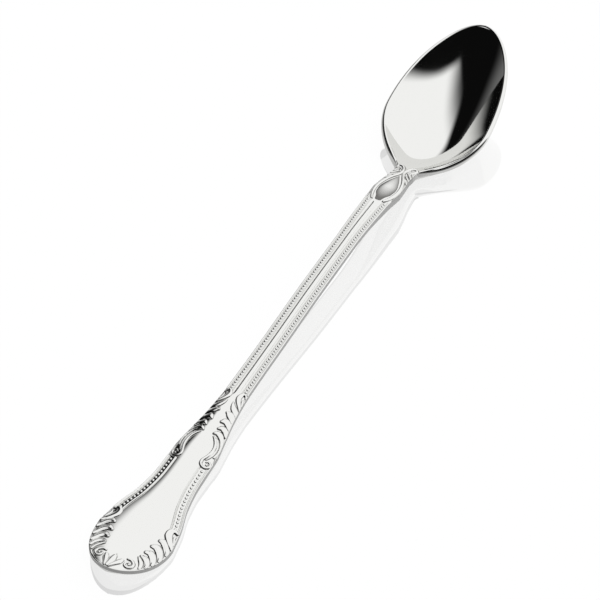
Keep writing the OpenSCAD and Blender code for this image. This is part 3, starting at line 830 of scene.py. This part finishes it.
NECK = [
    ([(.5, 128.2), (.6, 128.8), (.72, 130), (.82, 132), (.84, 134.5), (.76, 137), (.58, 139),
      (.3, 140.8), (.15, 142.2), (.17, 143.8), (.4, 145.1), (.7, 145.25), (.86, 144.5),
      (.72, 143.7)], [.36, .42, .46, .5, .5, .5, .48, .46, .44, .42, .42, .4, .36, .26],
     1.05),
    ([(.5, 140.35), (.75, 139.5), (.99, 138.3)], [.2, .42, .3], .75, .3),
    ([(.36, 141.7), (.68, 140.9), (.99, 139.8)], [.25, .46, .35], .8, .3),
    ([(.42, 142.8), (.72, 142.2), (1, 141.2)], [.25, .46, .4], .8, .3),
    ([(.62, 143.6), (.82, 143.3), (1, 142.6)], [.2, .36, .34], .7, .3),
    ([(.97, 137.6), (.99, 135), (.98, 132), (.97, 129.5)], [.3, .28, .24, .15], .55)]

# Petals and curls at the tip, by millimetres across and along from the tip
TIP = [
    ([(0, .3), (0, 1.5), (0, 2.9), (0, 3.9)], [.4, .62, .85, .6], 1.3),
    ([(.55, .35), (1, 1.5), (1.6, 2.8), (1.95, 3.65)], [.3, .5, .75, .5], 1.2),
    ([(2.75, 4.75), (3.6, 4.85), (4.5, 4.2), (4.65, 3.2), (3.95, 2.5), (3.15, 2.7),
      (2.95, 3.4), (3.4, 3.85)], [.3, .42, .42, .4, .38, .34, .3, .2], 1),
    ([(3.75, 3.45), (3.85, 3.5)], [.34, .34], .8)]


# Operators, one for each group of pieces


class SPOON_OT_bowl(Operator):
    """Build the bowl with its hollow, rim land, sloped edge and belly"""
    bl_idname = "spoon.bowl"
    bl_label = "Bowl"

    def execute(self, context):
        spoon = Spoon()
        heel = spaced(spoon.joint, spoon.hollow_start, 16)[:-1]
        back = spoon.hollow_start + (spoon.wide - spoon.hollow_start) * (
            1 - np.cos(np.radians(spaced(0, 90, 44)[:-1])))
        front = spoon.wide + (spoon.length - spoon.wide) * np.sin(np.radians(spaced(0, 90, 64)))
        y = np.concatenate([heel, back, front])

        def top(x, edge, at):
            share = np.clip(np.abs(x) / np.maximum(edge, 1e-6), 0, 1)
            bevel = spoon.rim_bevel * spoon.grown(at)
            depth = np.clip(spoon.hollow_depth(at) - bevel, 0, None)
            return spoon.face_z(x, at) - bevel - depth * (1 - share ** HOLLOW_POWER)

        land = spoon.rim_w - spoon.rim_lean
        rim = [(0, 0.03), (0.03, 0), (0.07, 0), (0.5 * land, 0.03), (land, 0)]
        put_body("bowl", spoon, y, top, spoon.belly_z, rim, spoon.rim_lean * spoon.grown(y),
                 (56, 44), crease=32)
        return {"FINISHED"}


class SPOON_OT_handle(Operator):
    """Build the terminal, shoulder, stem and neck with their upright edges"""
    bl_idname = "spoon.handle"
    bl_label = "Handle"

    def execute(self, context):
        spoon = Spoon()
        tip = spoon.widest_l * (1 - np.cos(np.radians(spaced(0, 90, 60)[:-1])))
        stretches = {
            "terminal": np.concatenate([tip, spaced(spoon.widest_l, spoon.terminal_l, 70)]),
            "shoulder": spaced(spoon.terminal_l, spoon.stem_start, 90),
            "stem": spaced(spoon.stem_start, spoon.neck_start, 180),
            "neck": spaced(spoon.neck_start, spoon.joint, 70)}
        rim = [(0, 0.1), (0.03, 0.03), (0.1, 0), (0.24, 0), (0.32, 0.1), (0.4, 0)]
        for name, y in stretches.items():
            put_body(name, spoon, y, lambda x, edge, at: spoon.face_z(x, at), spoon.back_z, rim,
                     0 * y, (40, 32))
        return {"FINISHED"}


class SPOON_OT_mouldings(Operator):
    """Build the mouldings along both edges and the rib along the middle of the stem"""
    bl_idname = "spoon.mouldings"
    bl_label = "Mouldings"

    def execute(self, context):
        spoon = Spoon()
        for name, side in SIDES.items():
            for row, sections in (("stem_border", (STEM_OUTER, STEM_INNER)),
                                  ("terminal_border", (TERMINAL_OUTER, TERMINAL_INNER))):
                y = row_places(spoon, row)
                self.put(f"{row}_{name}",
                         join([strip(spoon, y, side, section) for section in sections]))
        y = row_places(spoon, "centre_rib")
        fade_in, fade_out, seam, depth = 3, 2, 0.03, 0.15
        fade = np.clip((y - y[0]) / fade_in, 0, 1) * np.clip((y[-1] - y) / fade_out, 0, 1)

        def line(t, height):
            return np.column_stack([t * spoon.rib_w / 2 + 0 * y, y,
                                    spoon.face_z(0 * y, y) + height])
        rings = [line(t, spoon.rib_h * fade * (1 - t ** 2) - seam) for t in spaced(-1, 1, 16)]
        rings += [line(1, -depth), line(-1, -depth)]
        self.put("centre_rib", loft(np.stack(rings[::-1], 1)))
        return {"FINISHED"}

    def put(self, node, shape):
        put_mesh(node, "relief_steel", *shape, [beaded_steel()], crease=60)


class SPOON_OT_beads(Operator):
    """Set the four rows of beads along the mouldings"""
    bl_idname = "spoon.beads"
    bl_label = "Beads"

    def execute(self, context):
        spoon = Spoon()
        for name, side in SIDES.items():
            bead_row("stem_beads", spoon, STEM_BEAD_INSET, spoon.stem_pitch, name, side)
            bead_row("terminal_beads", spoon, TERMINAL_BEAD_INSET, spoon.terminal_pitch, name,
                     side)
        return {"FINISHED"}


class SPOON_OT_shoulder_relief(Operator):
    """Stamp the leaves, scales and scrolls of the shoulder"""
    bl_idname = "spoon.shoulder_relief"
    bl_label = "Shoulder relief"

    def execute(self, context):
        spoon = Spoon()
        stamp("shoulder_leaves", spoon, LEAVES)
        stamp("shoulder_scroll", spoon, SCROLL)
        return {"FINISHED"}


class SPOON_OT_terminal_relief(Operator):
    """Stamp the gadroon lobes and the shell at the tip"""
    bl_idname = "spoon.terminal_relief"
    bl_label = "Terminal relief"

    def execute(self, context):
        spoon = Spoon()
        stamp("gadroon", spoon, GADROON)
        shell_w, shell_l = 10.8, 5.6
        across, along = spaced(-shell_w / 2, shell_w / 2, 150), spaced(0, shell_l, 76)
        end = spoon.widest_l * (1 - np.sqrt(1 - (across / (spoon.terminal_w / 2)) ** 2))
        x = np.tile(across, (len(along), 1))
        y = along[:, None] + end
        rows = []
        for path, *form in TIP:
            at_x, at_y = np.array(path, float).T
            share = at_x / np.maximum(spoon.half_w(at_y), 1e-3)
            rows.append((np.column_stack([share, at_y]), *form))
        patch("tip_shell", spoon, x, y, strands(spoon, np.abs(x), y, rows), 1)
        return {"FINISHED"}


class SPOON_OT_neck_relief(Operator):
    """Stamp the scrolls of the neck and its smooth drop-shaped cartouche"""
    bl_idname = "spoon.neck_relief"
    bl_label = "Neck relief"

    def execute(self, context):
        spoon = Spoon()
        x, y = side_grid(spoon, "neck_scroll")
        fan_x, fan_y, fan_r, fan_h, flutes, depth = 1.95, 144.1, 1.7, 0.62, 11, 0.28
        away = np.hypot(x - fan_x, y - fan_y)
        turn = np.arctan2(y - fan_y, x - fan_x)
        fan = fan_h * (1 - depth + depth * np.cos(flutes * turn)) * np.clip(
            1 - (away / fan_r) ** 4, 0, None) ** 0.5
        fan = np.where(away < fan_r, fan, -1)
        both_sides("neck_scroll", spoon, x, y, strands(spoon, x, y, NECK, fan))
        low, high = spoon.neck_start + 0.06 * spoon.neck_l, spoon.neck_start + 0.9 * spoon.neck_l
        rows = [(0, 0.26), (0.12, 0.34), (0.3, 0.6), (0.5, 0.64), (0.75, 0.44), (1, 0.03)]
        y = spaced(low, high, 150)
        half = spoon.half_w(y) * curve(rows, (y - low) / (high - low))
        share = spaced(-1, 1, 60)
        x, y = half[:, None] * share, np.repeat(y[:, None], len(share), 1)
        rise = spoon.cartouche_h / spoon.leaf_h * (half / half.max())[:, None] ** 0.6
        fade = np.clip((y - low) / (0.45 * spoon.neck_l), 0, 1)
        relief = rise * fade * np.clip(1 - share ** 2, 0, None) ** 0.8
        patch("neck_cartouche", spoon, x, y, relief, 1)
        return {"FINISHED"}


class SPOON_OT_stage(Operator):
    """Lay the pale glossy floor, light the studio and set the camera"""
    bl_idname = "spoon.stage"
    bl_label = "Stage"

    def execute(self, context):
        lay_floor()
        light_studio()
        set_camera()
        context.scene.view_settings.view_transform = "Standard"
        return {"FINISHED"}


def lay_floor():
    reach, drop = 6, 0.0001
    mesh = bpy.data.meshes.new("floor")
    mesh.from_pydata([(-reach, -reach, 0), (reach, -reach, 0), (reach, reach, 0),
                      (-reach, reach, 0)], [], [(0, 1, 2, 3)])
    floor = link("floor", mesh)
    floor.location = (0, 0, -drop)
    floor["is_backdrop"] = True
    mesh.materials.append(gloss_acrylic())


FLOOR_GLOSS = 0.28
FLOOR_WHITE = 0.9


@finish("White gloss acrylic")
def gloss_acrylic(tree):
    """Cast acrylic: a white body under a polished face that mirrors what stands on it."""
    body = add(tree, "ShaderNodeBsdfDiffuse", {"Color": linear(colours().floor)})
    glow = add(tree, "ShaderNodeEmission", {"Color": (1, 1, 1, 1), "Strength": 1})
    seen = add(tree, "ShaderNodeLightPath")
    shown = add(tree, "ShaderNodeMath", {0: seen.outputs["Is Camera Ray"],
                                         1: seen.outputs["Is Glossy Ray"]}, operation="ADD")
    white = add(tree, "ShaderNodeMath", {0: shown, 1: FLOOR_WHITE}, operation="MULTIPLY")
    base = add(tree, "ShaderNodeMixShader", {0: white, 1: body, 2: glow})
    mirror = add(tree, "ShaderNodeBsdfGlossy", {"Color": (1, 1, 1, 1), "Roughness": 0.02})
    return add(tree, "ShaderNodeMixShader", {0: FLOOR_GLOSS, 1: base, 2: mirror})


def edge_of_light(tree, direction, turn, tilt, dark, bright):
    """How much light comes over one soft straight edge of the studio's bright opening.

    turn, from +Y towards +X, and tilt, up, aim the square of the edge's plane, in degrees; dark
    and bright are how far past the plane it is fully so."""
    turn, tilt = math.radians(turn), math.radians(tilt)
    square = (math.sin(turn) * math.cos(tilt), math.cos(turn) * math.cos(tilt), math.sin(tilt))
    over = add(tree, "ShaderNodeVectorMath", {0: direction, 1: square}, operation="DOT_PRODUCT")
    return add(tree, "ShaderNodeMapRange", {
        "Value": over.outputs["Value"], "From Min": dark, "From Max": bright},
        interpolation_type="SMOOTHSTEP")


def light_studio():
    """A dark studio with one wide bright opening, white wherever the camera itself looks."""
    world = bpy.data.worlds.new("Studio")
    world.use_nodes = True
    bpy.context.scene.world = world
    tree = world.node_tree
    tree.nodes.clear()
    direction = add(tree, "ShaderNodeTexCoord").outputs["Generated"]
    bright = OPENING_LEVEL
    for edge in OPENING_EDGES:
        part = edge_of_light(tree, direction, *edge)
        bright = add(tree, "ShaderNodeMath", {0: bright, 1: part}, operation="MULTIPLY")
    up = add(tree, "ShaderNodeSeparateXYZ", {0: direction}).outputs["Z"]
    low = add(tree, "ShaderNodeMapRange", {
        "Value": up, "From Min": GLOW_TOP, "From Max": GLOW_FULL, "To Min": STUDIO_DARK,
        "To Max": GLOW_LEVEL}, interpolation_type="SMOOTHSTEP")
    dim = add(tree, "ShaderNodeMath", {0: bright, 1: low}, operation="MAXIMUM")
    camera = add(tree, "ShaderNodeLightPath").outputs["Is Camera Ray"]
    level = add(tree, "ShaderNodeMath", {0: dim, 1: camera}, operation="MAXIMUM")
    shader = add(tree, "ShaderNodeBackground", {"Color": (1, 1, 1, 1), "Strength": level})
    add(tree, "ShaderNodeOutputWorld", {"Surface": shader})


STUDIO_DARK = 0.004
# The glow of the studio's pale walls, low all round: the sines of the heights where it starts
# and is full
GLOW_TOP = 0.5
GLOW_FULL = 0.1
GLOW_LEVEL = 0.16
OPENING_LEVEL = 1.12
# Turn and tilt of the opening's edges, and where they are dark and bright
OPENING_EDGES = [(-22, 30, -0.05, 0.05), (40, 13, -0.3, 0.14), (70, 27, -0.15, 0.02),
                 (24, 40, 0.18, 0.25)]


def set_camera():
    data = bpy.data.cameras.new("camera")
    data.sensor_width, data.lens = 36, 144
    data.shift_x, data.shift_y = -0.0027, -0.0005
    data.clip_start, data.clip_end = 0.05, 50
    camera = link("camera", data)
    camera.location = CAMERA_PLACE
    yaw, down = CAMERA_TURN
    forward = Vector((math.sin(yaw) * math.cos(down), math.cos(yaw) * math.cos(down),
                      -math.sin(down)))
    camera.rotation_mode = "QUATERNION"
    camera.rotation_quaternion = forward.to_track_quat("-Z", "Y")
    bpy.context.scene.camera = camera


CAMERA_PLACE = (0.190761, -0.358693, 0.411758)
CAMERA_TURN = (-0.496, 0.79)


class SPOON_PT_sidebar(Panel):
    """Lists the spoon's steps, sizes and colours"""
    bl_idname = "SPOON_PT_sidebar"
    bl_label = "Iced tea spoon"
    bl_space_type = "VIEW_3D"
    bl_region_type = "UI"
    bl_category = "Spoon"

    def draw(self, context):
        for step in STEPS:
            self.layout.operator(step.bl_idname)
        for group, names in ((context.scene.spoon_sizes, SpoonSizes.__annotations__),
                             (context.scene.spoon_colours, SpoonColours.__annotations__)):
            box = self.layout.box()
            for name in names:
                box.prop(group, name)


STEPS = (SPOON_OT_stage, SPOON_OT_bowl, SPOON_OT_handle, SPOON_OT_mouldings, SPOON_OT_beads,
         SPOON_OT_shoulder_relief, SPOON_OT_terminal_relief, SPOON_OT_neck_relief)
CLASSES = (SpoonSizes, SpoonColours, *STEPS, SPOON_PT_sidebar)


def register():
    for item in CLASSES:
        bpy.utils.register_class(item)
    bpy.types.Scene.spoon_sizes = PointerProperty(type=SpoonSizes)
    bpy.types.Scene.spoon_colours = PointerProperty(type=SpoonColours)


def unregister():
    del bpy.types.Scene.spoon_colours, bpy.types.Scene.spoon_sizes
    for item in reversed(CLASSES):
        bpy.utils.unregister_class(item)


def main():
    register()
    bpy.ops.spoon.stage()
    bpy.ops.spoon.bowl()
    bpy.ops.spoon.handle()
    bpy.ops.spoon.mouldings()
    bpy.ops.spoon.beads()
    bpy.ops.spoon.shoulder_relief()
    bpy.ops.spoon.terminal_relief()
    bpy.ops.spoon.neck_relief()
    boxes = {"cad_low": CAD_BOX[0], "cad_high": CAD_BOX[1]}
    boxes["visual_low"], boxes["visual_high"] = [list(corner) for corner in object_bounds()]


if __name__ == "__main__":
    main()
